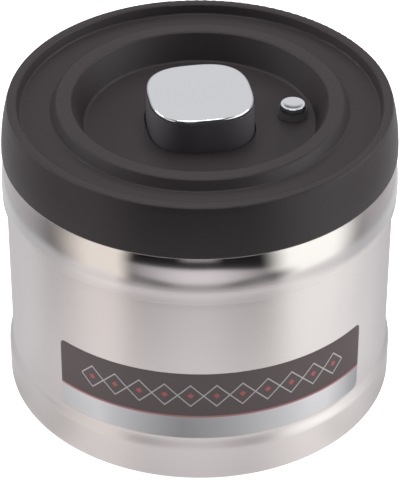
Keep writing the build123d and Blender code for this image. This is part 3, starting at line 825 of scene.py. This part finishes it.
def makeFloor():
    half = ground["half"]
    corners = [(-half, -half, 0), (half, -half, 0), (half, half, 0), (-half, half, 0)]
    floor = newObject("floor", newMesh("floor", corners, [(0, 1, 2, 3)]))
    material = bpy.data.materials.new("paleFloor")
    start = blankWires(material)
    seen, mirrored = start.node("ShaderNodeLightPath").outputs("Is Camera Ray", "Is Glossy Ray")
    lit = start.node("ShaderNodeBsdfDiffuse", inputs={"Color": grey(ground["lit"])})
    glow = {"Color": grey(1.0), "Strength": seen * ground["glow"]}
    glow = start.node("ShaderNodeEmission", inputs=glow)
    pale = start.node("ShaderNodeAddShader", inputs={0: lit, 1: glow})
    mixed = {0: mirrored, 1: pale, 2: mirroredFloor(start)}
    surface = start.node("ShaderNodeMixShader", inputs=mixed)
    start.node("ShaderNodeOutputMaterial", inputs={"Surface": surface})
    floor.data.materials.append(material)


makeFloor()

# White for the camera; mirrored, it is light above and behind the canister and dark in front
surround = {
    "fill": 0.2,
    "dark": 0.18,
    "light": 0.62,
    "lightFrom": (0.26, 0.46),    # share of the way from the front to the back
}


def makeWorld():
    world = bpy.data.worlds.new("studio")
    bpy.context.scene.world = world
    start = blankWires(world)
    seen, glossy = start.node("ShaderNodeLightPath").outputs("Is Camera Ray", "Is Glossy Ray")
    direction = start.node("ShaderNodeTexCoord", out="Generated")
    split = start.node("ShaderNodeSeparateXYZ", inputs={"Vector": direction})
    x, y = split.outputs("X", "Y")
    turn = math.radians(studio["turn"])
    behind = 0.5 + 0.5 * (y * math.cos(turn) - x * math.sin(turn))
    gloss = surround["dark"] + step(behind, surround["lightFrom"], surround["light"])
    other = glossy * gloss + (1 - glossy) * surround["fill"]
    light = {"Color": grey(1.0), "Strength": seen + (1 - seen) * other}
    background = start.node("ShaderNodeBackground", inputs=light)
    start.node("ShaderNodeOutputWorld", inputs={"Surface": background})


makeWorld()

# Lamps stand at an angle, distance and height, and aim at a height on the axis
lamps = {
    "keySoft": {
        "place": (180, 350, 1150), "aim": 60,
        "size": (900, 600), "power": 6.5, "hiddenFrom": ("glossy",),
    },
    "leftSoft": {
        "place": (-100, 800, 340), "aim": 60,
        "size": (500, 500), "power": 4.5, "hiddenFrom": (),
    },
    "rightSoft": {
        "place": (95, 800, 340), "aim": 60,
        "size": (500, 500), "power": 4.55, "hiddenFrom": (),
    },
    "stripSoft": {
        "place": (0, 400, 960), "aim": 105,
        "size": (700, 200), "power": 2.4, "hiddenFrom": ("diffuse",),
    },
    "sheenSoft": {
        "place": (66, 700, 457), "aim": 105,
        "size": (260, 160), "power": 0.6, "hiddenFrom": ("diffuse",),
    },
}


def makeLamps():
    for name, lamp in lamps.items():
        data = bpy.data.lights.new(name, "AREA")
        data.shape = "RECTANGLE"
        data.size, data.size_y = (side * mm for side in lamp["size"])
        data.energy = lamp["power"]
        made = newObject(name, data)
        place = roundStudio(*lamp["place"])
        look = (Vector((0, 0, lamp["aim"] * mm)) - place).to_track_quat("-Z", "Y")
        made.matrix_world = Matrix.Translation(place) @ look.to_matrix().to_4x4()
        for ray in lamp["hiddenFrom"]:
            setattr(made, "visible_" + ray, False)


makeLamps()

# Round wall that only mirrors and glosses see: a dark room with two tall soft boxes and, low
# down, the lit table. Turns are in degrees from the front, each way but for the boxes. Where a
# value holds two edges and a number, the number is what is added past them.
wall = {
    "radius": 200,
    "height": 190,
    "columns": 72,
    "room": 0.50,
    "front": 0.015,
    "frontHalf": (56, 100),
    "green": 0.97,                      # the green share of its grey
    "spot": 0.42,
    "spotHalf": (4, 12),
    "spotLow": (106, 118),
    "table": 0.98,
    "tableLow": (9, 16),                # heights between which the table's glow comes in
    "tableHigh": (65, 77),              # and goes out again
    "tableHalf": (1, 52),
    "tableSides": ((90, 130), 0.45),    # where it comes back, weaker
    "lowRises": ((8, 34), 17),
    "highFalls": ((4, 34), 22),         # on the right alone
    "footFrom": (34, 50),               # past these turns it reaches the floor
    "footFront": ((2, 24), 0.45),
    "footBetween": ((13, 31), 0.5),
    "boxes": (
        {"edges": (-80, -50, -39, -29), "cut": 0, "glow": (1.18, 1.12, 1.04, 1)},
        {"edges": (27, 43, 64, 88), "cut": 8, "glow": (1.52, 1.56, 1.50, 1)},
    ),
    "cutHeights": (12, 40),             # a cut box has its inner corner off below these
}


def wallGlow(start):
    x, y, z = partPlace(start)
    angle = turnFromFront(x, y)
    side = abs(angle)
    level = wall["front"] + step(side, wall["frontHalf"], wall["room"] - wall["front"])
    spot = (1 - fade(side, wall["spotHalf"])) * fade(z, wall["spotLow"], mm)
    level = level + spot * (wall["spot"] - wall["front"])
    frontEdges, frontShare = wall["footFront"]
    foot = fade(z - step(side, *wall["lowRises"]) * mm, wall["tableLow"], mm)
    foot = foot + fade(side, wall["footFrom"]) + frontShare * (1 - fade(side, frontEdges))
    foot = (foot + step(side, *wall["footBetween"])).maths("MINIMUM", 1)
    head = 1 - fade(z + step(angle, *wall["highFalls"]) * mm, wall["tableHigh"], mm)
    around = 1 - fade(side, wall["tableHalf"]) + step(side, *wall["tableSides"])
    table = foot * head * around
    level = level * (1 - table) + table * wall["table"]
    grades = {"Red": level, "Green": level * wall["green"], "Blue": level}
    shade = start.node("ShaderNodeCombineColor", inputs=grades)
    for box in wall["boxes"]:
        cut = box["cut"] * (1 - fade(z, wall["cutHeights"], mm))
        inner, outer = box["edges"][:2], box["edges"][2:]
        mask = fade(angle - cut, inner) * (1 - fade(angle, outer))
        shade = mixColours(mask, shade, box["glow"])
    return start.node("ShaderNodeEmission", inputs={"Color": shade, "Strength": 1.0})


def makeWall():
    rings = [circleRing(wall["radius"], level, wall["columns"]) for level in (0, wall["height"])]
    made = newObject("studioWall", newMesh("studioWall", *skin(rings)))
    for ray in ("camera", "diffuse", "shadow", "transmission"):
        setattr(made, "visible_" + ray, False)
    material = bpy.data.materials.new("wallGlow")
    start = blankWires(material)
    start.node("ShaderNodeOutputMaterial", inputs={"Surface": wallGlow(start)})
    made.data.materials.append(material)


makeWall()
bpy.context.scene.view_settings.view_transform = "Standard"
print("studio placed")
